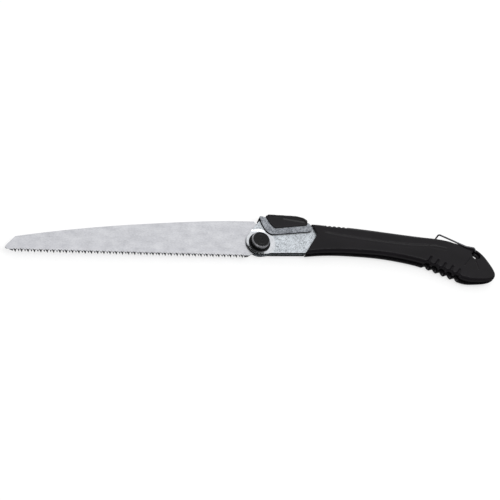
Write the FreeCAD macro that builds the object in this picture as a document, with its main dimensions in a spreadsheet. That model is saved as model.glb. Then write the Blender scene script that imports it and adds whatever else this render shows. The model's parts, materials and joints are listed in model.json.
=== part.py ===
"""Folding pull saw lying on its side.

The saw is drawn about its pivot: X runs along the handle towards its tail, Y towards the spine of the
blade and Z along the pivot bolt. Every piece then has a Placement that moves the pivot to its place over
the footprint, so that the origin is under the middle of the saw, on the surface it lies on. Millimetres.
"""
import FreeCAD, Part
import math
import os
from FreeCAD import Vector

DIMENSIONS = {
    # place of the pivot over the footprint
    "pivot_x": -1.2, "pivot_y": 4.84, "pivot_z": 9.0,
    # blade
    "blade_half": 0.75, "tooth_pitch": 3.6, "tooth_count": 75, "tooth_depth": 4.3, "tooth_lean": 2.1,
    "first_tooth_x": -291.3, "tooth_line_y": -20.1, "tang_radius": 23.0, "tang_low_radius": 14.2,
    "notch_radius": 21.0, "bush_radius": 6.0,
    # cast frame halves
    "slot_half": 1.2, "cheek_face": 4.0, "nose_radius": 16.5, "recess_floor": 2.8,
    "recess_radius": 13.8, "recess_rim": 19.8,
    # pivot hardware
    "bolt_radius": 4.0, "bolt_bore": 4.05, "bolt_head_circle": 7.5, "bolt_head_top": 8.0, "bolt_end": 8.6,
    "washer_radius": 11.0, "washer_bore": 6.3, "washer_inner": 0.78, "washer_outer": 1.18,
    "bush_half": 1.15, "knob_radius": 11.1, "knob_seat": 4.0, "knob_top": 10.8, "knob_base_radius": 13.2,
    "nut_seat": 4.8, "nut_face": 9.0, "nut_circle": 9.0, "disc_seat": 3.8, "disc_radius": 10.5,
    # pins
    "stop_x": 5.4, "stop_y": 25.6, "stop_radius": 1.6, "stop_half": 3.2,
    "lever_pin_x": 36.0, "lever_pin_y": 24.0, "lever_pin_radius": 1.75, "lever_pin_bore": 1.8,
    "lever_pin_half": 5.9,
    "rivet_radius": 1.5, "rivet_half": 3.6,
    # lock lever, its pad, pawl and spring
    "lever_inner": 4.15, "lever_face": 6.0, "pad_face": 7.2, "pawl_half": 1.0, "pawl_pin_radius": 0.7,
    "pawl_pin_half": 5.6, "spring_x": 52.0, "spring_seat": 19.0, "spring_height": 9.4,
    "spring_radius": 2.1, "spring_wire": 0.35, "spring_pocket": 2.8, "spring_pitch": 1.8,
    # rubber grip
    "grip_half": 9.0, "grip_blank": 9.6, "grip_round": 4.0, "front_half": 7.2, "grip_slot_half": 1.4,
    "tail_half": 5.8, "scallop_radius": 4.0, "scallop_count": 5, "scallop_x": 212.9, "scallop_y": -26.2,
    "nick_radius": 1.7, "nick_count": 5, "nick_x": 90.0, "nick_y": 26.5,
    # lanyard hole and wire hanger
    "lanyard_x": 281.6, "lanyard_y": -11.5, "lanyard_radius": 2.6, "lanyard_recess": 5.8,
    "lanyard_floor": 1.6,
    "hanger_x": 281.2, "hanger_y": -6.6, "hanger_bore": 1.2, "hanger_seat": 0.8, "wire_radius": 1.1,
    "hanger_leg": 7.8, "hanger_end": 1.0,
}

doc = FreeCAD.newDocument("folding_saw")
sheet = doc.addObject("Spreadsheet::Sheet", "dims")
for row, (alias, number) in enumerate(DIMENSIONS.items(), start=1):
    sheet.set(f"A{row}", alias)
    sheet.set(f"B{row}", str(number))
    sheet.setAlias(f"B{row}", alias)
doc.recompute()


def dim(alias):
    return float(sheet.get(alias))


PIECES = []


def piece(item, name):
    """Names a finished piece and moves the pivot to its place over the footprint."""
    item.Label = name
    for axis in "xyz":
        item.setExpression(f"Placement.Base.{axis}", f"dims.pivot_{axis}")
    PIECES.append(item)
    return item


# ---------------------------------------------------------------- curves

def point(x, y):
    return Vector(x, y, 0)


def polar(radius, degrees):
    angle = math.radians(degrees)
    return point(radius * math.cos(angle), radius * math.sin(angle))


def arc(radius, start, end):
    """Arc about the pivot from one angle to another, in degrees."""
    ends = polar(radius, start), polar(radius, (start + end) / 2), polar(radius, end)
    return Part.Arc(*ends)


def circle(x, y, radius):
    return [Part.Circle(point(x, y), Vector(0, 0, 1), radius)]


def spline(points, start, end):
    """Smooth curve through the points with given end directions."""
    curve = Part.BSplineCurve()
    curve.interpolate([point(*p) for p in points], InitialTangent=point(*start).normalize(),
                      FinalTangent=point(*end).normalize(), Scale=False)
    return curve


def chain(points):
    """Straight edges from point to point, left open."""
    return [Part.LineSegment(a, b) for a, b in zip(points, points[1:])]


def polygon(points):
    corners = [point(*p) for p in points]
    return chain(corners + corners[:1])


def corner_ends(before, corner, after, radius):
    """Where a round of this radius leaves the two edges that meet at a corner, and its middle."""
    back, ahead = (before - corner).normalize(), (after - corner).normalize()
    half = back.getAngle(ahead) / 2
    reach = radius / math.tan(half)
    middle = (back + ahead).normalize() * (radius / math.sin(half) - radius)
    return corner + back * reach, corner + middle, corner + ahead * reach


def rounded_path(points, radii):
    """Lines joined by tangent arcs; a radius of 0 leaves a corner sharp, and the two ends have none."""
    edges = []
    start = points[0]
    for index, radius in enumerate(radii, start=1):
        if radius == 0:
            edges.append(Part.LineSegment(start, points[index]))
            start = points[index]
            continue
        ends = corner_ends(points[index - 1], points[index], points[index + 1], radius)
        edges += [Part.LineSegment(start, ends[0]), Part.Arc(*ends)]
        start = ends[2]
    return edges + [Part.LineSegment(start, points[-1])]


def rounded_polygon(corners):
    """Closed outline of (x, y, radius) corners, begun halfway along its last edge."""
    points = [point(x, y) for x, y, _ in corners]
    radii = [radius for _, _, radius in corners]
    middle = (points[-1] + points[0]) / 2
    return rounded_path([middle] + points + [middle], radii)


# ---------------------------------------------------------------- features

def new_body(name):
    return piece(doc.addObject("PartDesign::Body", name), name)


def origin_plane(body, role):
    return next(item for item in body.Origin.OriginFeatures if item.Role == role)


def new_sketch(body, curves, level=None, role="XY_Plane"):
    sketch = body.newObject("Sketcher::SketchObject", f"{body.Name}_sketch")
    sketch.AttachmentSupport = [(origin_plane(body, role), "")]
    sketch.MapMode = "FlatFace"
    if level:
        sketch.setExpression("AttachmentOffset.Base.z", level)
    sketch.addGeometry(curves, False)
    return sketch


def pad(body, curves, low, high):
    """Adds the outline between two heights, given as expressions."""
    sketch = new_sketch(body, curves, low)
    feature = body.newObject("PartDesign::Pad", f"{body.Name}_pad")
    feature.Profile = sketch
    feature.setExpression("Length", f"({high}) - ({low})")
    doc.recompute()


def must_shrink(body, before):
    doc.recompute()
    if not body.Shape.Volume < before - 1e-3:
        change = f"{before:.1f} to {body.Shape.Volume:.1f} mm3"
        raise RuntimeError(f"{body.Name}: {body.Tip.Label} removed nothing ({body.Tip.State}, {change})")


def pocket(body, curves, low, high):
    """Removes the outline between two heights, given as expressions."""
    before = body.Shape.Volume
    sketch = new_sketch(body, curves, high)
    feature = body.newObject("PartDesign::Pocket", f"{body.Name}_pocket")
    feature.Profile = sketch
    feature.setExpression("Length", f"({high}) - ({low})")
    must_shrink(body, before)


def vertical_pocket(body, curves):
    """Removes an outline of the XZ plane right through the piece, both ways along Y."""
    before = body.Shape.Volume
    sketch = new_sketch(body, curves, role="XZ_Plane")
    feature = body.newObject("PartDesign::Pocket", f"{body.Name}_pocket")
    feature.Profile = sketch
    feature.Type = "ThroughAll"
    feature.SideType = "Symmetric"
    must_shrink(body, before)


def turned(body, profile, kind="PartDesign::Revolution"):
    """Revolves a closed (radius, height) profile about the pivot axis, to add it or to cut it."""
    before = body.Shape.Volume if kind == "PartDesign::Groove" else 0
    sketch = new_sketch(body, polygon(profile), role="XZ_Plane")
    feature = body.newObject(kind, f"{body.Name}_turned")
    feature.Profile = sketch
    feature.ReferenceAxis = (sketch, ["V_Axis"])
    feature.Angle = 360
    doc.recompute()
    if before:
        must_shrink(body, before)


def cylinder(name, radius, low, high, x=0, y=0):
    """Upright cylinder between two heights, with its radius and heights given as expressions."""
    item = doc.addObject("Part::Cylinder", name)
    item.Placement.Base = point(x, y)
    item.setExpression("Radius", radius)
    item.setExpression("Height", f"({high}) - ({low})")
    item.setExpression("Placement.Base.z", low)
    return item


def hexagon(name, circle_radius, low, high):
    item = doc.addObject("Part::Prism", name)
    item.Polygon = 6
    item.setExpression("Circumradius", circle_radius)
    item.setExpression("Height", f"({high}) - ({low})")
    item.setExpression("Placement.Base.z", low)
    return item


def cut(name, base, tool):
    item = doc.addObject("Part::Cut", name)
    item.Base = base
    item.Tool = tool
    return item


def ring(name, outer, inner, low, high):
    base = cylinder(f"{name}_disc", outer, low, high)
    hole = cylinder(f"{name}_hole", inner, low, high)
    return piece(cut(name, base, hole), name)


def group(name, items):
    """One piece made of the solids given, which stay separate."""
    item = doc.addObject("Part::Compound", name)
    item.Links = items
    return piece(item, name)


# ---------------------------------------------------------------- outlines shared between pieces

# Height of the slot's ceiling at the pivot, and its fall towards the tail
SLOT_START, SLOT_SLOPE = 22.4, -0.1405
RIVETS = [(84, 16.5), (142, 9.5), (200, 1.0), (252, -6.5)]
# Tang of the frame inside the grip: corners as x, y and rounding
TANG = [(69, 24.3, 6), (126, 19.2, 60), (197, 11.2, 60), (250, 4, 30), (267, -1, 5), (270, -24, 10),
        (266, -38.5, 5), (257, -37.5, 8), (244, -31, 30), (205, -17, 60), (158, -9.6, 60), (110, -7, 60),
        (60, -9, 2)]
BOLSTER_TOP = [(-9.6, 14.8, 6), (4.8, 31.3, 1.2), (12, 29, 4)]
BOLSTER_BOTTOM = [(55.5, -13.4, 1.5), (10.5, -14.7, 20)]
NOSE_START, NOSE_END = 151, 282            # ends of the round nose, as angles about the pivot
LEVER = [(3.1, 36.8, 2), (5.6, 25.2, 20), (11.8, 9.6, 11), (66.2, 16.1, 2.5), (69.8, 19.9, 2),
         (67, 26.8, 1.5), (60.5, 30.4, 6), (50, 32.6, 10), (13.4, 33.6, 3)]
PAD = [(11.2, 35.2, 1.2), (16.2, 24.6, 10), (20.6, 18.7, 5), (63.2, 24.4, 2), (64.3, 31, 2.5),
       (60, 34.6, 8), (51, 37, 20), (15.4, 38, 2.5)]
PAWL = [(8.6, 33.2, 0), (8.6, 25.5, 2), (9.6, 21.6, 0.4), (13.7, 19.2, 0.4), (17.5, 22, 2),
        (20, 27, 2), (27, 30.2, 0), (27, 32.6, 0)]
PAWL_PINS = [(12.5, 31.9), (23.5, 31.7)]
# Front edge of the rubber, from top to bottom, and the hollow for the hanger's wire beside the tail
CHEVRON = [(69.6, 26.4), (74.2, 12.3), (54.8, -15.6)]
WIRE_HOLLOW = [(238, 12.5), (269, -2.8), (275, -5), (276, -10), (290, -10), (290, 12), (238, 25)]
# The hollow inside the lever, open below and behind, which leaves a web along its top
LEVER_HOLLOW = [(-5, -5), (80, -5), (80, 27.05), (-5, 32.47)]


def slot_ceiling(x):
    return SLOT_START + SLOT_SLOPE * x


def outward(side, inner, outer):
    """Low and high ends of a span on the knob's side (+1) or on the nut's side (-1) of the middle."""
    return (inner, outer) if side > 0 else (f"-({outer})", f"-({inner})")


def across(half):
    """Low and high ends of a span that is the same on both sides of the middle."""
    return f"-{half}", half


# ---------------------------------------------------------------- blade

def saw_teeth():
    """Gullets and points of the toothed edge in turn, from the tip to the heel."""
    first, pitch, count = dim("first_tooth_x"), dim("tooth_pitch"), int(dim("tooth_count"))
    line = dim("tooth_line_y")
    gullet = line + dim("tooth_depth")
    corners = []
    for index in range(count):
        start = first + index * pitch
        corners += [point(start, gullet), point(start + dim("tooth_lean"), line)]
    return corners + [point(first + count * pitch, gullet)]


def blade_outline():
    """Spine, tang with its shoulder and lock notch, heel, teeth and nose."""
    tang, low, notch = dim("tang_radius"), dim("tang_low_radius"), dim("notch_radius")
    spine = spline([(-286.7, 0.5), (-249.2, 7.4), (-179, 17.7), (-106.7, 25.3), (-39.8, 30.2), (-2, 31)],
                   (1, 0.2), (1, 0))
    shoulder = chain([point(-2, 31), point(-0.9, 28), point(3, 27.6), polar(tang, 78.5)])
    rim = [arc(tang, 78.5, 69), Part.LineSegment(polar(tang, 69), polar(notch, 67)),
           arc(notch, 67, 54), Part.LineSegment(polar(notch, 54), polar(tang, 52)),
           arc(tang, 52, 20), Part.LineSegment(polar(tang, 20), polar(low, -35)),
           arc(low, -35, -115)]
    teeth = saw_teeth()
    heel = chain([polar(low, -115), point(-12.6, -15.8), point(-16, -18.2), point(-20.4, -19.2), teeth[-1]])
    nose = chain([teeth[0], point(-292.2, -19.6), point(-299.8, -15.6), point(-300.8, -14.2),
                  point(-299.6, -12), point(-289, 0), point(-286.7, 0.5)])
    return [spine] + shoulder + rim + heel + chain(teeth[::-1]) + nose


def build_blade():
    blade = new_body("saw_blade")
    pad(blade, blade_outline(), *across("dims.blade_half"))
    pocket(blade, circle(0, 0, dim("bush_radius")), *across("dims.blade_half"))
    ring("pivot_bush", "dims.bush_radius", "dims.bolt_bore", *across("dims.bush_half"))


# ---------------------------------------------------------------- frame

def frame_outline():
    """Bolster with its round nose, and the tang that runs on inside the grip."""
    corners = BOLSTER_TOP + TANG + BOLSTER_BOTTOM
    points = [point(x, y) for x, y, _ in corners]
    ends = polar(dim("nose_radius"), NOSE_START), polar(dim("nose_radius"), NOSE_END)
    path = rounded_path([ends[0]] + points + [ends[1]], [radius for _, _, radius in corners])
    return [arc(dim("nose_radius"), NOSE_START, NOSE_END)] + path


def spring_well(body):
    """Upright well between the frame halves, in which the lever's spring stands."""
    before = body.Shape.Volume
    well = circle(dim("spring_x"), 0, dim("spring_pocket"))
    feature = body.newObject("PartDesign::Pocket", f"{body.Name}_well")
    feature.Profile = new_sketch(body, well, "-dims.spring_seat", "XZ_Plane")
    feature.setExpression("Length", "dims.spring_height * 2")
    must_shrink(body, before)


def build_frame_half(name, side):
    """One cast half: side is +1 for the knob's half and -1 for the nut's."""
    body = new_body(name)
    plate = outward(side, "dims.slot_half", "dims.cheek_face")
    pad(body, frame_outline(), *plate)
    floor, radius, over = dim("recess_floor"), dim("recess_radius"), dim("cheek_face") + 0.2
    recess = [(0, floor), (radius, floor), (radius + 1.8, floor + 0.15), (radius + 3.4, floor + 0.5),
              (dim("recess_rim"), over), (0, over)]
    turned(body, [(r, side * z) for r, z in recess], "PartDesign::Groove")
    pocket(body, circle(0, 0, dim("bolt_bore")), *plate)
    pocket(body, circle(dim("lever_pin_x"), dim("lever_pin_y"), dim("lever_pin_radius")), *plate)
    pocket(body, circle(dim("stop_x"), dim("stop_y"), dim("stop_radius")),
           *outward(side, "dims.slot_half", "dims.stop_half"))
    for x, y in RIVETS:
        pocket(body, circle(x, y, dim("rivet_radius")), *outward(side, "dims.slot_half", "dims.rivet_half"))
    spring_well(body)


def build_spacer():
    """Steel strip that holds the two halves apart over the blade's slot."""
    corners = [(46, slot_ceiling(46), 1), (267, slot_ceiling(267), 1), (264.5, -2.2, 3), (250, 3, 30),
               (197, 10.2, 60), (126, 18.2, 60), (69, 23, 6), (46, 24.6, 2)]
    body = new_body("spine_spacer")
    levels = across("dims.slot_half")
    pad(body, rounded_polygon(corners), *levels)
    for x, y in RIVETS:
        pocket(body, circle(x, y, dim("rivet_radius")), *levels)
    spring_well(body)


def build_frame_pins():
    rivets = [cylinder(f"rivet_{index}", "dims.rivet_radius", *across("dims.rivet_half"), x, y)
              for index, (x, y) in enumerate(RIVETS, start=1)]
    group("frame_rivets", rivets)
    stop = cylinder("stop", "dims.stop_radius", *across("dims.stop_half"), dim("stop_x"), dim("stop_y"))
    group("stop_pin", [stop])
    pin = cylinder("pin", "dims.lever_pin_radius", *across("dims.lever_pin_half"),
                   dim("lever_pin_x"), dim("lever_pin_y"))
    group("lever_pin", [pin])


# ---------------------------------------------------------------- pivot hardware

def build_pivot():
    shaft = cylinder("bolt_shaft", "dims.bolt_radius", "-dims.bolt_end", "dims.knob_seat")
    head = hexagon("bolt_head", "dims.bolt_head_circle", "dims.knob_seat", "dims.bolt_head_top")
    bolt = doc.addObject("Part::Fuse", "bolt")
    bolt.Base = shaft
    bolt.Tool = head
    piece(bolt, "pivot_bolt")

    radius, seat, top = dim("knob_radius"), dim("knob_seat"), dim("knob_top")
    knob = new_body("pivot_knob")
    wall = [(0, seat), (radius, seat), (radius, top - 1.5), (radius - 1.15, top - 0.2)]
    crown = [(radius - 1.6, top - 0.05), (6.6, top), (6.2, top - 0.25), (5.8, top), (2.2, top),
             (1.5, top - 0.5), (0, top - 0.5)]
    turned(knob, wall + crown)
    head_hole = polygon([polar(dim("bolt_head_circle"), 60 * corner)[:2] for corner in range(6)])
    pocket(knob, head_hole, "dims.knob_seat", "dims.bolt_head_top")
    ring("knob_base", "dims.knob_base_radius", "dims.bolt_bore", "dims.recess_floor", "dims.knob_seat")

    for side, name in ((1, "thrust_washer_near"), (-1, "thrust_washer_far")):
        ring(name, "dims.washer_radius", "dims.washer_bore",
             *outward(side, "dims.washer_inner", "dims.washer_outer"))

    floor, seat, edge = dim("recess_floor"), dim("disc_seat"), dim("disc_radius")
    bore, sheet_metal = dim("bolt_bore") + 0.2, 0.6
    disc = new_body("disc_spring")
    turned(disc, [(bore, -seat + sheet_metal), (edge, -floor), (edge, -floor - sheet_metal), (bore, -seat)])
    ring("nut_washer", "dims.washer_radius", "dims.bolt_bore", "-dims.nut_seat", "-dims.disc_seat")
    nut = cut("nut", hexagon("nut_blank", "dims.nut_circle", "-dims.nut_face", "-dims.nut_seat"),
              cylinder("nut_bore", "dims.bolt_bore", "-dims.nut_face", "-dims.nut_seat"))
    piece(nut, "pivot_nut")


# ---------------------------------------------------------------- lock lever

def build_lever():
    lever = new_body("lock_lever")
    pad(lever, rounded_polygon(LEVER), *across("dims.lever_face"))
    pocket(lever, polygon(LEVER_HOLLOW), *across("dims.lever_inner"))
    pin_bore = circle(dim("lever_pin_x"), dim("lever_pin_y"), dim("lever_pin_bore"))
    pocket(lever, pin_bore, *across("dims.lever_face"))
    pocket(lever, rounded_polygon(PAWL), *across("dims.pawl_half"))
    for x, y in PAWL_PINS:
        pocket(lever, circle(x, y, dim("pawl_pin_radius")), *across("dims.pawl_pin_half"))

    thumb_pad = new_body("lever_pad")
    pad(thumb_pad, rounded_polygon(PAD), *across("dims.pad_face"))
    pocket(thumb_pad, rounded_polygon(LEVER), *across("dims.lever_face"))

    pawl = new_body("lock_pawl")
    pad(pawl, rounded_polygon(PAWL), *across("dims.pawl_half"))
    for x, y in PAWL_PINS:
        pocket(pawl, circle(x, y, dim("pawl_pin_radius")), *across("dims.pawl_half"))
    pins = [cylinder(f"pawl_pin_{index}", "dims.pawl_pin_radius", *across("dims.pawl_pin_half"), x, y)
            for index, (x, y) in enumerate(PAWL_PINS, start=1)]
    group("pawl_pins", pins)


def build_spring():
    """Coil that pushes the lever's tail up, with its axis along Y."""
    helix = doc.addObject("Part::Helix", "spring_helix")
    helix.setExpression("Radius", "dims.spring_radius")
    helix.setExpression("Pitch", "dims.spring_pitch")
    helix.setExpression("Height", "dims.spring_height - 2 * dims.spring_wire")
    wire = doc.addObject("Part::Circle", "spring_section")
    wire.setExpression("Radius", "dims.spring_wire")
    upright = FreeCAD.Rotation(Vector(1, 0, 0), 90)
    wire.Placement = FreeCAD.Placement(Vector(dim("spring_radius"), 0, 0), upright)
    coil = doc.addObject("Part::Sweep", "spring_coil")
    coil.Sections = [wire]
    coil.Spine = (helix, [])
    coil.Solid = True
    coil.Frenet = True
    foot = Vector(dim("spring_x"), dim("spring_seat") + dim("spring_wire"), 0)
    coil.Placement = FreeCAD.Placement(foot, upright.inverted())
    group("lever_spring", [coil])


# ---------------------------------------------------------------- grip and hanger

def grip_outline():
    """Side view of the rubber, drawn on past its front end."""
    front_top, front_bottom, tail = (40, 28.4), (40, -15), (303.8, -35.0)
    upper = spline([front_top, (70.5, 27.1), (126, 23.2), (197, 15.3), (244.6, 9), (268, 3.5),
                    (284.9, -2.4), (292.9, -10.1), (298.5, -19.7), tail], (1, -0.04), (0.1, -1))
    lower = spline([tail, (301, -41.7), (292.4, -46.1), (275, -47.6), (262, -46.9), (250.7, -42.7),
                    (225.6, -31.1), (210.7, -24.6), (187.5, -18.4), (156.3, -13.3), (125, -11.3), (94, -11),
                    (72, -12.4), (56, -14.2), front_bottom], (-0.1, -1), (-1, 0))
    return [upper, lower, Part.LineSegment(point(*front_bottom), point(*front_top))]


def grip_flank(side):
    """What is trimmed off one side of the blank: it leaves the grip fullest in the palm."""
    full, over = side * dim("grip_half"), side * (dim("grip_blank") + 2)
    front, tail = side * dim("front_half"), side * (dim("tail_half") - 1.2)
    rear = spline([(245, full), (278, side * 7.4), (310, tail)], (1, 0), (1, -side * 0.12))
    fore = spline([(35, front), (100, side * 8), (180, full)], (1, side * 0.01), (1, 0))
    corners = [point(310, tail), point(310, over), point(35, over), point(35, front)]
    return [fore, Part.LineSegment(point(180, full), point(245, full)), rear] + chain(corners)


def round_long_edges(body, radius):
    """Rounds the edges that run the length of the grip."""
    before = body.Shape.Volume
    base = body.Tip
    names = [f"Edge{index}" for index, edge in enumerate(base.Shape.Edges, start=1)
             if edge.BoundBox.XLength > 25 and abs(edge.CenterOfMass.z) > 1]
    feature = body.newObject("PartDesign::Fillet", f"{body.Name}_round")
    feature.Base = (base, names)
    feature.setExpression("Radius", radius)
    must_shrink(body, before)


SCALLOP_STEP = (8.97, -4.0)
NICK_STEP = (6.0, -0.42)


def row_of_circles(kind, steps):
    """The circles of a row of finger scallops or nicks along the grip's edge."""
    first_x, first_y = dim(f"{kind}_x"), dim(f"{kind}_y")
    step_x, step_y = steps
    return [Part.Circle(point(first_x + step_x * step, first_y + step_y * step), Vector(0, 0, 1),
                        dim(f"{kind}_radius")) for step in range(int(dim(f"{kind}_count")))]


def build_grip():
    grip = new_body("grip")
    pad(grip, grip_outline(), *across("dims.grip_blank"))
    for side in (1, -1):
        vertical_pocket(grip, grip_flank(side))
    everywhere = across("dims.grip_blank * 1.5")
    ahead = [(30, 45), (CHEVRON[0][0], 45)] + CHEVRON + [(CHEVRON[-1][0], -30), (30, -30)]
    pocket(grip, polygon(ahead), *everywhere)
    round_long_edges(grip, "dims.grip_round")
    first_x, first_y, _ = BOLSTER_TOP[-1]
    last_x, last_y, _ = BOLSTER_BOTTOM[0]
    cavity = [(first_x, first_y, 0)] + TANG + [(last_x, last_y, 0), (last_x, -30, 0), (first_x, -30, 0)]
    pocket(grip, rounded_polygon(cavity), *across("dims.cheek_face"))
    slot = [(30, slot_ceiling(30)), (312, slot_ceiling(312)), (312, -70), (30, -70)]
    pocket(grip, polygon(slot), *across("dims.grip_slot_half"))

    pocket(grip, row_of_circles("scallop", SCALLOP_STEP), *everywhere)
    pocket(grip, row_of_circles("nick", NICK_STEP), *everywhere)
    lanyard_x, lanyard_y = dim("lanyard_x"), dim("lanyard_y")
    pocket(grip, circle(lanyard_x, lanyard_y, dim("lanyard_radius")), *everywhere)
    clear = "dims.grip_blank * 1.5"
    for side in (1, -1):
        pocket(grip, circle(lanyard_x, lanyard_y, dim("lanyard_recess")),
               *outward(side, "dims.lanyard_floor", clear))
        pocket(grip, polygon(WIRE_HOLLOW), *outward(side, "dims.tail_half", clear))
        pocket(grip, circle(dim("hanger_x"), dim("hanger_y"), dim("hanger_bore")),
               *outward(side, "dims.hanger_seat", clear))


def build_hanger():
    """Wire bail: two legs beside the tail, each turned in to a hole, joined by a bar over the grip."""
    leg, end = dim("hanger_leg"), dim("hanger_end")
    x, y = dim("hanger_x"), dim("hanger_y")
    side_points = [(x, y), (x - 0.4, y + 5), (270, 0), (236, 16.8)]
    points = [Vector(x, y, end)] + [Vector(px, py, leg) for px, py in side_points]
    points += [Vector(px, py, -leg) for px, py in side_points[::-1]] + [Vector(x, y, -end)]
    half_radii = [2, 2.4, 12, 2.6]
    edges = rounded_path(points, half_radii + half_radii[::-1])
    path = doc.addObject("Part::Feature", "wire_path")
    path.Shape = Part.Wire([edge.toShape() for edge in edges])
    section = doc.addObject("Part::Circle", "wire_section")
    section.setExpression("Radius", "dims.wire_radius")
    section.Placement.Base = points[0]
    wire = doc.addObject("Part::Sweep", "wire")
    wire.Sections = [section]
    wire.Spine = (path, [])
    wire.Solid = True
    piece(wire, "wire_hanger")


# ---------------------------------------------------------------- build, check and write

def failed(item):
    return bool({"Invalid", "Error"} & set(item.State))


def write_pieces():
    doc.recompute()
    broken = [item.Label for item in doc.Objects if failed(item)]
    broken += [item.Label for item in PIECES if item.Shape.isNull() or not item.Shape.isValid()]
    if broken:
        raise RuntimeError(f"failed: {broken}")
    os.makedirs("parts", exist_ok=True)
    for item in PIECES:
        item.Shape.exportStep(f"parts/{item.Label}.step")
        print(f"{item.Label}: {len(item.Shape.Solids)} solid(s), {item.Shape.Volume:.0f} mm3")


build_blade()
build_frame_half("frame_near", 1)
build_frame_half("frame_far", -1)
build_spacer()
build_frame_pins()
build_pivot()
build_lever()
build_spring()
build_grip()
build_hanger()
write_pieces()
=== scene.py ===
"""A folding japanese pull saw: its looks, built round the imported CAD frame.

Lengths are in millimetres in the saw's own frame (the pivot bolt's middle is the origin, +X to the tail,
+Y to the spine, +Z to the knob) until saw_point() or set_saw_coordinates() turns them into metres in the
part's frame. The places of the lights are in metres in the part's frame.
"""
import json
import math

import bmesh
import bpy
import numpy as np
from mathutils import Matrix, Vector

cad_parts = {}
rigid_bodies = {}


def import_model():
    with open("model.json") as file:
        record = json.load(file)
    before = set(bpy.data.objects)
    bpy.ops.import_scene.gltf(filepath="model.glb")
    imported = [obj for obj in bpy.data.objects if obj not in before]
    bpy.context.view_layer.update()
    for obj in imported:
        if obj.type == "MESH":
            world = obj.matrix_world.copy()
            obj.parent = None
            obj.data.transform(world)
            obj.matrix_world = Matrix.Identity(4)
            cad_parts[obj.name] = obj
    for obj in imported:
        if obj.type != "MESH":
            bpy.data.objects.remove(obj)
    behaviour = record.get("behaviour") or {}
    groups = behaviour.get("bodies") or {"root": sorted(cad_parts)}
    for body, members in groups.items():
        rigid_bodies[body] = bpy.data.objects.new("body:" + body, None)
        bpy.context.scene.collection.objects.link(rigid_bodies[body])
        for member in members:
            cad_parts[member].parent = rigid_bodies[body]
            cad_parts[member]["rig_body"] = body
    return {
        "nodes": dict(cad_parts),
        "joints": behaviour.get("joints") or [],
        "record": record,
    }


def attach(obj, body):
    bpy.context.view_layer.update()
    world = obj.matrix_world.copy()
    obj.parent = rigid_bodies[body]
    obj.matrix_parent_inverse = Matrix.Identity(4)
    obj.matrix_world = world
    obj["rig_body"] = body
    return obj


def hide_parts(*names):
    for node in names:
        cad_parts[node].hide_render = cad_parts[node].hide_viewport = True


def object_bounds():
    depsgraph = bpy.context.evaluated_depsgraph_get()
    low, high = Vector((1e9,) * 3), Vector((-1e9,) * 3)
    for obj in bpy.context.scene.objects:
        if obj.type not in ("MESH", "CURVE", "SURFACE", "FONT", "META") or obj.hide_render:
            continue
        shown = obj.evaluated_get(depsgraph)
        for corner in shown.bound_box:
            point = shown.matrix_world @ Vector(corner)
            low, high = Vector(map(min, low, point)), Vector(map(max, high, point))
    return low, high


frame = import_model()
bpy.context.view_layer.update()
cad_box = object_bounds()

MM = 0.001
JOINT_AT = {joint["name"]: Vector(joint["pos_m"]) for joint in frame["joints"]}
PIVOT = JOINT_AT["blade_fold"]
SLOT_OF = {part["node"]: part["material_slot"] for part in frame["record"]["subparts"]}


def saw_point(x, y, z=0.0):
    """A point of the saw's own frame, in the part's frame."""
    return PIVOT + Vector((x, y, z)) * MM


# ---------------------------------------------------------------- materials

GRAIN_ROUGHNESS = 0.55
NOISE_RANGE = 0.3, 0.7
# Cosines over which a face turns from an edge with painted shade to a flat face.
FLAT_RANGE = 0.5, 0.92


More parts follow.
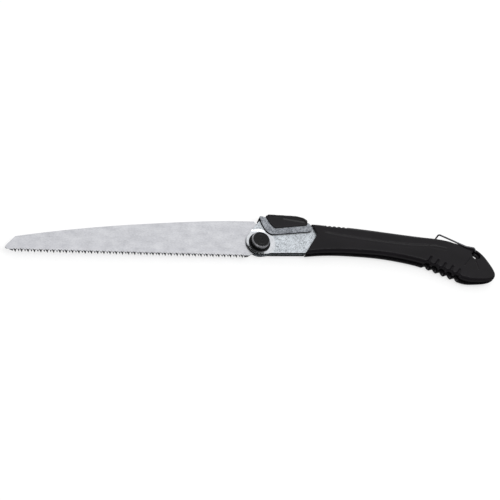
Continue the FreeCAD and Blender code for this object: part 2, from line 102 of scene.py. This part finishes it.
class Look:
    """A node material being made: its tree, its shader and the object's own coordinates."""

    def __init__(self, name, **constants):
        self.material = bpy.data.materials.new(name)
        self.material.use_nodes = True
        self.tree = self.material.node_tree
        self.shader = self.tree.nodes["Principled BSDF"]
        self.place = self.node("ShaderNodeTexCoord").outputs["Object"]
        for socket, value in constants.items():
            self.shader.inputs[socket.replace("_", " ")].default_value = value

    def node(self, kind, inputs=None, **settings):
        """A new node, with each input linked to a socket or set to a value."""
        made = self.tree.nodes.new(kind)
        for key, value in settings.items():
            setattr(made, key, value)
        for key, value in (inputs or {}).items():
            if isinstance(value, bpy.types.NodeSocket):
                self.tree.links.new(value, made.inputs[key])
            else:
                made.inputs[key].default_value = value
        return made

    def grain(self, size, detail=3.0, stretch=(1, 1, 1), shift=0.0):
        """Noise from 0 to 1 whose features are about `size` mm across, drawn out by `stretch`."""
        scale = [1 / (size * MM * share) for share in stretch]
        placed = self.node("ShaderNodeMapping", {"Vector": self.place, "Scale": scale,
                                                 "Location": (shift, shift, shift)})
        return self.node("ShaderNodeTexNoise", {"Vector": placed.outputs["Vector"], "Scale": 1.0,
                                                "Detail": detail,
                                                "Roughness": GRAIN_ROUGHNESS}).outputs["Fac"]

    def weigh(self, *pairs):
        """The sum of some values, each times its weight."""
        total = 0.0
        for value, weight in pairs:
            total = self.node("ShaderNodeMath", {0: value, 1: weight, 2: total},
                              operation="MULTIPLY_ADD").outputs[0]
        return total

    def remap(self, value, low, high, to_low, to_high):
        """A value moved from one range to another and held inside it."""
        return self.node("ShaderNodeMapRange", {"Value": value, "From Min": low, "From Max": high,
                                                "To Min": to_low, "To Max": to_high}).outputs["Result"]

    def colour(self, value, stops):
        """The base colour, from a value and its (position, colour) stops."""
        ramp = self.node("ShaderNodeValToRGB", {"Fac": value})
        elements = ramp.color_ramp.elements
        while len(elements) < len(stops):
            elements.new(0.5)
        for element, (position, shade) in zip(elements, stops):
            element.position = position
            element.color = (*shade, 1.0)
        self.tree.links.new(ramp.outputs["Color"], self.shader.inputs["Base Color"])

    def along_y(self, line, start, end):
        """0 to 1 from one distance to another above a line of the saw's own frame, in mm."""
        height = self.node("ShaderNodeSeparateXYZ", {0: self.place}).outputs["Y"]
        base = saw_point(0, line).y
        return self.remap(height, base + start * MM, base + end * MM, 0.0, 1.0)

    def facing(self, axis, start, end):
        """0 to 1 as the surface turns towards an axis of the object, from one cosine to another."""
        normal = self.node("ShaderNodeTexCoord").outputs["Normal"]
        turned = self.node("ShaderNodeVectorMath", {0: normal, 1: axis}, operation="DOT_PRODUCT")
        return self.remap(turned.outputs["Value"], start, end, 0.0, 1.0)

    def flat(self):
        """1 on faces that lie flat with the saw, 0 on its edges all round, where the looks paint shade."""
        near = self.facing((0, 0, 1), *FLAT_RANGE)
        far = self.facing((0, 0, -1), *FLAT_RANGE)
        return self.weigh((near, 1.0), (far, 1.0))

    def rough(self, value, low, high):
        """The roughness, from low to high as a value goes through the usual range of noise."""
        self.tree.links.new(self.remap(value, *NOISE_RANGE, low, high), self.shader.inputs["Roughness"])

    def relief(self, height, depth):
        """Bumps of about `depth` mm from a height of 0 to 1."""
        bump = self.node("ShaderNodeBump", {"Height": height, "Distance": depth * MM, "Strength": 1.0})
        self.tree.links.new(bump.outputs["Normal"], self.shader.inputs["Normal"])


TOOTH_LINE = -20.1
HARDENED_BELOW = 2.3, 3.5


def blade_look():
    """Satin plate steel, ground along its length, with faint blotches, shade painted dark on its edges, and
    hardened teeth.
    """
    look = Look("satin_blade_steel", Metallic=1.0)
    lines = look.grain(0.22, 4.0, (70, 1, 1))
    blotch = look.grain(9.0, 4.0, (1.6, 1, 1), 3.0)
    speck = look.grain(0.9, 2.0, (2.5, 1, 1), 7.0)
    plain = look.along_y(TOOTH_LINE, *HARDENED_BELOW)
    # The flat-face weight darkens the plate's edges: painted shade.
    mixed = look.weigh((lines, 0.3), (blotch, 0.35), (speck, 0.35),
                       (plain, 0.46), (look.flat(), 0.3), (1.0, -0.76))
    look.colour(mixed, [(0.12, (0.03, 0.03, 0.034)), (0.38, (0.48, 0.485, 0.515)),
                        (0.5, (0.58, 0.585, 0.615)), (0.6, (0.66, 0.665, 0.69))])
    look.rough(look.weigh((lines, 0.6), (blotch, 0.4)), 0.34, 0.5)
    look.relief(lines, 0.004)
    return look.material


def ground_look():
    """The bevels of the teeth, ground across and darkened by hardening."""
    look = Look("ground_tooth_steel", Metallic=1.0)
    lines = look.grain(0.12, 2.0, (1, 12, 12))
    heat = look.grain(3.0, 2.0, (1, 1, 1), 5.0)
    look.colour(look.weigh((lines, 0.5), (heat, 0.5)),
                [(0.35, (0.015, 0.015, 0.017)), (0.5, (0.045, 0.045, 0.05)), (0.66, (0.13, 0.13, 0.14))])
    look.rough(lines, 0.28, 0.42)
    look.relief(lines, 0.003)
    return look.material


# The near-black colour painted on the castings' edge walls as shade.
PAINTED_WALL_SHADE = (0.008, 0.0084, 0.0095)
PIT_DEPTH = 0.14


def cast_look(name, dark, middle, light, grain_size):
    """A tumbled or blasted casting: grains of light and dark metal, small pits, and shade painted near-black
    on its edge walls.
    """
    look = Look(name, Metallic=1.0, Specular_Tint=(0.2, 0.2, 0.2, 1.0))
    grains = look.grain(grain_size, 3.0)
    pits = look.grain(grain_size * 2.1, 2.0, (1, 1, 1), 11.0)
    cloud = look.grain(14.0, 2.0, (1, 1, 1), 4.0)
    # Faces away from the flats fall to the painted wall shade.
    mixed = look.weigh((grains, 0.55), (pits, 0.3), (cloud, 0.15), (look.flat(), 0.5), (1.0, -0.5))
    look.colour(mixed, [(0.1, PAINTED_WALL_SHADE), (0.38, dark), (0.47, middle), (0.58, light)])
    look.rough(grains, 0.3, 0.52)
    look.relief(look.weigh((grains, 0.6), (pits, 0.4)), PIT_DEPTH)
    return look.material


ROUGHNESS_SPREAD = -0.06, 0.08
RUBBER_GRAIN_DEPTH = 0.03


def spread(rough):
    """The lowest and highest roughness about a middling one."""
    return [rough + step for step in ROUGHNESS_SPREAD]


def rubber_look(name, dark, light, rough, gloss):
    """Moulded rubber with a fine grain, handled a little shinier in places."""
    look = Look(name, Specular_IOR_Level=gloss)
    fine = look.grain(0.3, 3.0)
    hide = look.grain(1.1, 3.0, (1, 1, 1), 6.0)
    wear = look.grain(22.0, 3.0, (1.5, 1, 1), 2.0)
    look.colour(look.weigh((fine, 0.3), (hide, 0.2), (wear, 0.5)), [(0.35, dark), (0.65, light)])
    look.rough(look.weigh((wear, 0.6), (fine, 0.4)), *spread(rough))
    look.relief(look.weigh((fine, 0.55), (hide, 0.45)), RUBBER_GRAIN_DEPTH)
    return look.material


def knob_look():
    """Black painted steel with a little dust."""
    look = Look("painted_black", Specular_IOR_Level=0.18)
    fine = look.grain(0.35, 3.0)
    dust = look.grain(2.4, 4.0, (1, 1, 1), 9.0)
    look.colour(look.weigh((fine, 0.4), (dust, 0.6)),
                [(0.38, (0.003, 0.003, 0.0032)), (0.66, (0.008, 0.008, 0.009))])
    look.rough(look.weigh((fine, 0.5), (dust, 0.5)), 0.18, 0.32)
    look.relief(fine, 0.012)
    return look.material


def plated_look(name, dark, light, rough, size):
    """Plated or turned metal with fine random scratches."""
    look = Look(name, Metallic=1.0)
    scratches = look.grain(size, 4.0, (9, 1, 2))
    film = look.grain(4.0, 3.0, (1, 1, 1), 8.0)
    look.colour(look.weigh((scratches, 0.4), (film, 0.6)), [(0.35, dark), (0.65, light)])
    look.rough(look.weigh((scratches, 0.5), (film, 0.5)), *spread(rough))
    look.relief(scratches, 0.004)
    return look.material


def floor_look():
    """A plain pale studio floor, barely uneven, that gives off a little light of its own."""
    look = Look("pale_floor", Specular_IOR_Level=0.1, Emission_Color=(1, 1, 1, 1), Emission_Strength=0.6)
    cloud = look.grain(300.0, 2.0)
    look.colour(cloud, [(0.3, (0.415, 0.415, 0.415)), (0.7, (0.43, 0.43, 0.43))])
    look.rough(cloud, 0.8, 0.9)
    return look.material


GRIP_SHADES = (0.0032, 0.0026, 0.0036), (0.0075, 0.0062, 0.0082)
PAD_SHADES = (0.0035, 0.003, 0.0042), (0.008, 0.007, 0.0095)
# Darker rubber colours for the undersides: painted shade.
UNDERSIDE_PAINTED_SHADES = (0.0016, 0.0015, 0.0018), (0.004, 0.0038, 0.0043)
BOLSTER_SHADES = (0.16, 0.17, 0.19), (0.48, 0.51, 0.54), (0.68, 0.72, 0.76)
LEVER_SHADES = (0.08, 0.085, 0.094), (0.2, 0.212, 0.234), (0.44, 0.465, 0.5)

MATERIALS = {
    "blade_steel": blade_look(),
    "bolster_alloy": cast_look("tumbled_casting", *BOLSTER_SHADES, 0.95),
    "lever_alloy": cast_look("blasted_casting", *LEVER_SHADES, 0.85),
    "grip_rubber": rubber_look("grip_rubber_grain", *GRIP_SHADES, 0.36, 0.17),
    "pad_rubber": rubber_look("pad_rubber_grain", *PAD_SHADES, 0.32, 0.22),
    "knob_black": knob_look(),
    "wire_steel": plated_look("plated_wire", (0.03, 0.03, 0.032), (0.13, 0.13, 0.14), 0.2, 0.15),
    "fastener_steel": plated_look("zinc_plate", (0.42, 0.43, 0.45), (0.62, 0.63, 0.64), 0.36, 0.2),
    "bearing_bronze": plated_look("turned_bronze", (0.42, 0.27, 0.12), (0.6, 0.42, 0.2), 0.34, 0.2),
}
GROUND_STEEL = ground_look()
# Darker, matt rubber for the undersides of grip and pad: painted shade.
MATT_SHADED_RUBBER = rubber_look("matt_rubber", *UNDERSIDE_PAINTED_SHADES, 0.7, 0.02)
EDGE_RUBBER = rubber_look("edge_rubber", *GRIP_SHADES, 0.6, 0.08)
TURNED_ALLOY = plated_look("turned_alloy", (0.6, 0.62, 0.65), (0.8, 0.82, 0.85), 0.16, 0.3)
# Grey metal painted on the knob's chamfer as a highlight.
PAINTED_RIM_HIGHLIGHT = plated_look("worn_rim", (0.18, 0.18, 0.19), (0.42, 0.42, 0.44), 0.26, 0.3)


# ---------------------------------------------------------------- mesh tools

SAME_PLACE = 1e-6
SAME_PLANE = math.radians(0.3)
SECOND_FINISH = 1
THIRD_FINISH = 2


def closed(node):
    """A bmesh of a CAD node with its split corners joined and its flat faces whole."""
    bm = bmesh.new()
    bm.from_mesh(frame["nodes"][node].data)
    bmesh.ops.remove_doubles(bm, verts=bm.verts, dist=SAME_PLACE)
    bmesh.ops.dissolve_limit(bm, angle_limit=SAME_PLANE, verts=bm.verts, edges=bm.edges)
    bm.normal_update()
    return bm


def shade(bm, angle=40):
    """Smooth shading, with edges sharper than the angle kept crisp."""
    for face in bm.faces:
        face.smooth = True
    for edge in bm.edges:
        edge.smooth = edge.calc_face_angle(0.0) < math.radians(angle)


def soften(bm, width, segments=2, sharper=30, wanted=lambda edge: True):
    """Rounds the sharp edges of a bmesh that are wanted."""
    sharp = [edge for edge in bm.edges
             if edge.calc_face_angle(0.0) > math.radians(sharper) and wanted(edge)]
    bmesh.ops.bevel(bm, geom=sharp, offset=width * MM, segments=segments, profile=0.5,
                    affect="EDGES", clamp_overlap=True)


def mesh_from(bm, name):
    """The bmesh as a mesh of its own."""
    mesh = bpy.data.meshes.new(name)
    bm.to_mesh(mesh)
    bm.free()
    return mesh


def modified(mesh, *modifiers):
    """The mesh after some modifiers, each a kind and its settings."""
    holder = bpy.data.objects.new("holder", mesh)
    bpy.context.scene.collection.objects.link(holder)
    for kind, settings in modifiers:
        modifier = holder.modifiers.new(kind, kind)
        for key, value in settings.items():
            setattr(modifier, key, value)
    depsgraph = bpy.context.evaluated_depsgraph_get()
    made = bpy.data.meshes.new_from_object(holder.evaluated_get(depsgraph), depsgraph=depsgraph)
    bpy.data.objects.remove(holder)
    return made


def remeshed(mesh, grid, rounds):
    """The mesh rebuilt on a fine grid, `grid` mm apart, and smoothed some rounds."""
    return modified(mesh, ("REMESH", {"mode": "VOXEL", "voxel_size": grid * MM, "use_smooth_shade": True}),
                    ("SMOOTH", {"factor": 0.5, "iterations": rounds}))


def saw_coordinates(mesh):
    """A mesh's points in the saw's own frame, as rows of x, y, z in mm."""
    flat = np.zeros(len(mesh.vertices) * 3)
    mesh.vertices.foreach_get("co", flat)
    return (flat.reshape(-1, 3) - np.array(PIVOT)) / MM


def set_saw_coordinates(mesh, points):
    """Moves a mesh's points to rows of x, y, z in mm in the saw's own frame."""
    flat = points * MM + np.array(PIVOT)
    mesh.vertices.foreach_set("co", flat.astype(np.float32).ravel())
    mesh.update()


def show(mesh, name, *nodes, extra=()):
    """A piece of that mesh which stands for its CAD nodes, on their body and with their finishes."""
    made = bpy.data.objects.new(name, mesh)
    bpy.context.scene.collection.objects.link(made)
    for finish in (MATERIALS[SLOT_OF[nodes[0]]], *extra):
        mesh.materials.append(finish)
    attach(made, frame["nodes"][nodes[0]]["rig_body"])
    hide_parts(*nodes)
    return made


def even_normals(piece):
    """Lets the large flat faces set the shading of the rounded edges between them."""
    piece.modifiers.new("even_normals", "WEIGHTED_NORMAL").keep_sharp = True


def mark(bm, wanted):
    """Gives the wanted faces of a bmesh the second finish of their piece."""
    bm.normal_update()
    for face in bm.faces:
        if wanted(face):
            face.material_index = SECOND_FINISH


def ease(value, start, end):
    """Goes smoothly from 0 to 1 as a value goes from start to end."""
    share = np.clip((value - start) / (end - start), 0, 1)
    return share * share * (3 - 2 * share)


def from_segment(x, y, start, end):
    """Distance of points from a straight segment."""
    along = np.array(end, float) - np.array(start, float)
    share = ((x - start[0]) * along[0] + (y - start[1]) * along[1]) / (along @ along)
    share = np.clip(share, 0, 1)
    return np.hypot(x - start[0] - share * along[0], y - start[1] - share * along[1])


# ---------------------------------------------------------------- blade

PLATE_EDGE = 0.18
PLATE_EDGE_SHARPER = 60
PLATE_CREASE = 30
# How far up its flank a tooth's bevel starts, and how far above the lowest tip the teeth and tips lie.
TOOTH_BEVEL = 2.8
TOOTH_ZONE = 5.5
TIP_ZONE = 0.6


def build_blade():
    """The blade plate, with each tooth bevelled on the other side from its neighbours."""
    bm = closed("saw_blade")
    lowest = min(vert.co.y for vert in bm.verts)

    def on_teeth(vert, zone):
        """Whether a corner is less than `zone` mm above the lowest tip and ahead of the pivot."""
        return vert.co.y < lowest + zone * MM and vert.co.x < PIVOT.x

    soften(bm, PLATE_EDGE, 1, PLATE_EDGE_SHARPER,
           lambda edge: not any(on_teeth(vert, TOOTH_ZONE) for vert in edge.verts))
    tips = {}
    for vert in bm.verts:
        if on_teeth(vert, TIP_ZONE):
            tips.setdefault(round(vert.co.x / MM, 1), []).append(vert)
    facets = set()
    for order, place in enumerate(sorted(tips)):
        pair = sorted(tips[place], key=lambda vert: vert.co.z)
        eased = pair[-1] if order % 2 else pair[0]
        eased.co.y += TOOTH_BEVEL * MM
        for vert in pair:
            facets.update(face for face in vert.link_faces if len(face.verts) == 4)
    parts = bmesh.ops.triangulate(bm, faces=list(facets))["faces"]
    for face in parts:
        face.material_index = SECOND_FINISH
    shade(bm, PLATE_CREASE)
    even_normals(show(mesh_from(bm, "saw_plate"), "saw_plate", "saw_blade", extra=[GROUND_STEEL]))


# ---------------------------------------------------------------- bolster, lever and pivot

CHEEK_EDGE = 0.6
LEVER_EDGE = 0.5
# Where the knob's chamfer and the cheek's dish lie: height and reach from the pivot, and slope as a cosine.
CHAMFER_FROM = 9.0
CHAMFER_REACH = 9.6
CHAMFER_SLOPE = 0.3, 0.9
DISH_RIM = 19.7
DISH_HEIGHTS = (2.7, 4.0)
DISH_SLOPE = 0.7


def in_dish(face):
    """Whether a face belongs to the turned dish round the pivot, on either cheek."""
    at = (face.calc_center_median() - PIVOT) / MM
    reach = max(math.hypot(*((vert.co - PIVOT) / MM).xy) for vert in face.verts)
    low, high = DISH_HEIGHTS
    return reach < DISH_RIM and low < abs(at.z) < high and abs(face.normal.z) > DISH_SLOPE


def build_castings():
    """The two cheeks and the lever, with rounded cast edges."""
    for node, name in (("frame_near", "bolster_near"), ("frame_far", "bolster_far")):
        bm = closed(node)
        soften(bm, CHEEK_EDGE, 3)
        mark(bm, in_dish)
        shade(bm)
        even_normals(show(mesh_from(bm, name), name, node, extra=[TURNED_ALLOY]))
    bm = closed("lock_lever")
    soften(bm, LEVER_EDGE, 3)
    shade(bm)
    even_normals(show(mesh_from(bm, "lever_casting"), "lever_casting", "lock_lever"))


def on_chamfer(face):
    """Whether a face belongs to the chamfer round the knob's top, where a highlight is painted."""
    at = (face.calc_center_median() - PIVOT) / MM
    low, high = CHAMFER_SLOPE
    return at.z > CHAMFER_FROM and math.hypot(at.x, at.y) > CHAMFER_REACH and low < face.normal.z < high


TURNED_PARTS = (("pivot_knob", "knob_turned", 0.3), ("knob_base", "knob_base_turned", 0.25),
                ("pivot_nut", "nut_softened", 0.4), ("nut_washer", "nut_washer_softened", 0.2))
TURNED_SHARPER = 25
TURNED_CREASE = 30
WIRE_CREASE = 50


def build_turned_parts():
    """The knob, its base, the nut and its washer, with softened rims and a grey highlight painted on the
    knob's chamfer.
    """
    for node, name, width in TURNED_PARTS:
        bm = closed(node)
        soften(bm, width, 3, TURNED_SHARPER)
        # The knob's chamfer takes the painted highlight.
        mark(bm, on_chamfer)
        shade(bm, TURNED_CREASE)
        even_normals(show(mesh_from(bm, name), name, node, extra=[PAINTED_RIM_HIGHLIGHT]))


def build_wire():
    """The wire hanger, shaded smooth."""
    bm = closed("wire_hanger")
    shade(bm, WIRE_CREASE)
    show(mesh_from(bm, "hanger_wire"), "hanger_wire", "wire_hanger")


# ---------------------------------------------------------------- soft parts

# Faces turned further than this towards the teeth's side count as underside, where shade is painted.
UNDERSIDE_FROM = -0.3
# The grip's surface: what is sunk into it fades in over the skin's half widths and stops at the core.
GRIP_GRID = 0.6
GRIP_ROUNDS = 4
GRIP_EDGE_HALF = 3.4
GRIP_CORE_HALF = 5.0
GRIP_SKIN = 4.4, 6.0
BELOW_RIDGE = 8.0
# The long ridge, along the flank, between a sloped shoulder above and the palm below.
RIDGE_RISES = 78, 92
RIDGE_FADES = 205, 240
RIDGE_X = [86.5, 100.8, 130.1, 159.7, 196.0]
RIDGE_Y = [15.4, 12.8, 8.1, 4.2, 0.9]
SHOULDER_SLOPE = 0.13
RIDGE_HEIGHT = 1.15
RIDGE_WIDTH = 1.1
RIDGE_FOOT = 6.0
# Ribs over the finger scallops, the blank label and the two creases under the lanyard hole.
RIB_COUNT = 5
RIB_FOOT = (211.5, -25.8)
RIB_HEAD = (218.7, -17.2)
RIB_FOOT_STEP = (8.97, -4.0)
RIB_HEAD_STEP = (8.75, -4.25)
RIB_DEPTH = 1.9
RIB_WIDTH = 1.5
LABEL_ENDS = (221.0, -1.0), (240.8, -4.9)
LABEL_EDGE = 2.0, 2.6
LABEL_DEPTH = 0.45
CREASES = (((271.6, -17.2), (262.0, -27.0)), ((279.5, -21.1), (280.4, -31.3)))
CREASE_DEPTH = 0.7
CREASE_WIDTH = 0.8


def mark_underside(mesh, half_width, outer):
    """Marks the outer edge along the teeth's side: the second finish within a half width, else the third;
    the second is darker, matt rubber that paints shade on the underside.
    """
    turned, middle = np.zeros(len(mesh.polygons) * 3), np.zeros(len(mesh.polygons) * 3)
    mesh.polygons.foreach_get("normal", turned)
    mesh.polygons.foreach_get("center", middle)
    x, y, z = ((middle.reshape(-1, 3) - np.array(PIVOT)) / MM).T
    under = (turned[1::3] < UNDERSIDE_FROM) & outer(x, y)
    finish = np.where(under, np.where(np.abs(z) < half_width, SECOND_FINISH, THIRD_FINISH), 0)
    mesh.polygons.foreach_set("material_index", finish.astype(np.int32))


def ridge_at(x):
    """Height of the long ridge on the grip's flank."""
    return np.interp(x, RIDGE_X, RIDGE_Y)


def build_grip():
    """The grip: the CAD form remeshed, then worked like clay."""
    mesh = remeshed(mesh_from(closed("grip"), "grip_form"), GRIP_GRID, GRIP_ROUNDS)
    points = saw_coordinates(mesh)
    x, y, z = points.T
    skin = ease(np.abs(z), *GRIP_SKIN)
    along = ease(x, *RIDGE_RISES) * (1 - ease(x, *RIDGE_FADES))
    off = y - ridge_at(x)
    shoulder = SHOULDER_SLOPE * np.clip(off, 0, None)
    crest = np.exp(-(off / RIDGE_WIDTH) ** 2)
    sink = (shoulder + RIDGE_HEIGHT * (1 - crest) * np.exp(-(off / RIDGE_FOOT) ** 2)) * along
    for index in range(RIB_COUNT):
        foot = [start + index * step for start, step in zip(RIB_FOOT, RIB_FOOT_STEP)]
        head = [start + index * step for start, step in zip(RIB_HEAD, RIB_HEAD_STEP)]
        sink += RIB_DEPTH * np.exp(-(from_segment(x, y, foot, head) / RIB_WIDTH) ** 2)
    label = from_segment(x, y, *LABEL_ENDS)
    sink += LABEL_DEPTH * (1 - ease(label, *LABEL_EDGE))
    for ends in CREASES:
        sink += CREASE_DEPTH * np.exp(-(from_segment(x, y, *ends) / CREASE_WIDTH) ** 2)
    core = np.minimum(np.abs(z), GRIP_CORE_HALF)
    points[:, 2] = np.sign(z) * np.maximum(np.abs(z) - sink * skin, core)
    set_saw_coordinates(mesh, points)
    mark_underside(mesh, GRIP_EDGE_HALF, lambda x, y: y < ridge_at(x) - BELOW_RIDGE)
    show(mesh, "grip_moulding", "grip", extra=[MATT_SHADED_RUBBER, EDGE_RUBBER])


# The pad's rim is what lies within the panel's edge distances of its outline.
PAD_GRID = 0.3
PAD_ROUNDS = 5
PAD_EDGE_HALF = 6.4
PAD_EDGE_REACH = 1.0
PAD_SKIN = 5.0, 6.4
PANEL_EDGE = 1.7, 2.5
PANEL_DEPTH = 1.1
RIM_WITHIN = 1e-5
RIM_SHARPER = math.radians(40)
PAD_CREST = (34.0, 33.6), (60.0, 29.6)
PAD_CREST_HEIGHT = 0.7
PAD_CREST_WIDTH = 1.2


def build_pad():
    """The thumb pad: a rounded rim round a sunk panel."""
    bm = closed("lever_pad")
    reach = max(abs(vert.co.z - PIVOT.z) for vert in bm.verts)
    rim = [[(vert.co - PIVOT) / MM for vert in edge.verts] for edge in bm.edges
           if all(abs(abs(vert.co.z - PIVOT.z) - reach) < RIM_WITHIN for vert in edge.verts)
           and edge.calc_face_angle(0.0) > RIM_SHARPER]
    mesh = remeshed(mesh_from(bm, "pad_form"), PAD_GRID, PAD_ROUNDS)
    points = saw_coordinates(mesh)
    x, y, z = points.T

    def from_rim(x, y):
        """Distance of points from the pad's outline."""
        return np.min([from_segment(x, y, start[:2], end[:2]) for start, end in rim], axis=0)

    panel = ease(from_rim(x, y), *PANEL_EDGE)
    crest = PAD_CREST_HEIGHT * np.exp(-(from_segment(x, y, *PAD_CREST) / PAD_CREST_WIDTH) ** 2)
    depth = (PANEL_DEPTH - crest) * panel * ease(np.abs(z), *PAD_SKIN)
    points[:, 2] = np.sign(z) * (np.abs(z) - depth)
    set_saw_coordinates(mesh, points)
    mark_underside(mesh, PAD_EDGE_HALF, lambda x, y: from_rim(x, y) < PAD_EDGE_REACH)
    show(mesh, "pad_moulding", "lever_pad", extra=[MATT_SHADED_RUBBER, EDGE_RUBBER])


# ---------------------------------------------------------------- stage

FLOOR_HALF = 14.0
FLOOR_GAP = 0.0002
# The sky is brightest in this direction, and its strength goes with the cosine from it.
SKY_SIDE = (0.1, 0.55, 0.83)
SKY_RANGE = {"From Min": -0.6, "From Max": 1.0, "To Min": 0.1, "To Max": 0.98}
# Name, place and size in metres, and power in watts.
LIGHTS = (("overhead", (0.49, -0.32, 1.55), 1.1, 10.0), ("behind", (-0.6, 1.7, 0.8), 1.0, 2.0),
          ("front_left", (-0.8, -0.95, 0.95), 0.45, 1.2))


def build_floor():
    """A wide plain floor just under the saw."""
    bm = bmesh.new()
    bmesh.ops.create_grid(bm, x_segments=8, y_segments=8, size=FLOOR_HALF)
    mesh = mesh_from(bm, "floor")
    mesh.materials.append(floor_look())
    floor = bpy.data.objects.new("floor", mesh)
    bpy.context.scene.collection.objects.link(floor)
    floor.location.z = cad_box[0].z - FLOOR_GAP


def build_world():
    """A soft studio: bright overhead and behind the spine, darker at the teeth's side."""
    world = bpy.data.worlds.new("studio")
    bpy.context.scene.world = world
    world.use_nodes = True
    tree = world.node_tree
    direction = tree.nodes.new("ShaderNodeTexCoord").outputs["Generated"]
    lean = tree.nodes.new("ShaderNodeVectorMath")
    lean.operation = "DOT_PRODUCT"
    tree.links.new(direction, lean.inputs[0])
    lean.inputs[1].default_value = SKY_SIDE
    ramp = tree.nodes.new("ShaderNodeMapRange")
    tree.links.new(lean.outputs["Value"], ramp.inputs["Value"])
    for key, value in SKY_RANGE.items():
        ramp.inputs[key].default_value = value
    background = tree.nodes["Background"]
    background.inputs["Color"].default_value = (1.0, 1.0, 1.0, 1.0)
    tree.links.new(ramp.outputs["Result"], background.inputs["Strength"])


def soft_light(name, place, size, power):
    """A square soft light that faces the middle of the saw."""
    data = bpy.data.lights.new(name, "AREA")
    data.size = size
    data.energy = power
    light = bpy.data.objects.new(name, data)
    bpy.context.scene.collection.objects.link(light)
    light.location = place
    light.rotation_mode = "QUATERNION"
    light.rotation_quaternion = (Vector(place) * -1).to_track_quat("-Z", "Y")


CAMERA_FROM_PIVOT = (-448.65, -761.58, 1233.17)
CAMERA_TURN = (32.1508, -15.168, -7.504)
CAMERA_LENS = 91.23
CAMERA_SENSOR = 36.0
CAMERA_REACH = 100.0


def build_camera():
    """The camera, from the teeth's side and above, turned by its angles in degrees."""
    data = bpy.data.cameras.new("camera")
    data.lens = CAMERA_LENS
    data.sensor_width = CAMERA_SENSOR
    data.clip_end = CAMERA_REACH
    camera = bpy.data.objects.new("camera", data)
    bpy.context.scene.collection.objects.link(camera)
    camera.location = saw_point(*CAMERA_FROM_PIVOT)
    camera.rotation_euler = [math.radians(angle) for angle in CAMERA_TURN]
    bpy.context.scene.camera = camera


for node in frame["nodes"].values():
    node.data.materials.clear()
    node.data.materials.append(MATERIALS[SLOT_OF[node.name]])

build_blade()
build_castings()
build_turned_parts()
build_wire()
build_grip()
build_pad()
build_floor()
build_world()
for light in LIGHTS:
    soft_light(*light)
build_camera()
bpy.context.scene.view_settings.view_transform = "Standard"

bpy.context.view_layer.update()
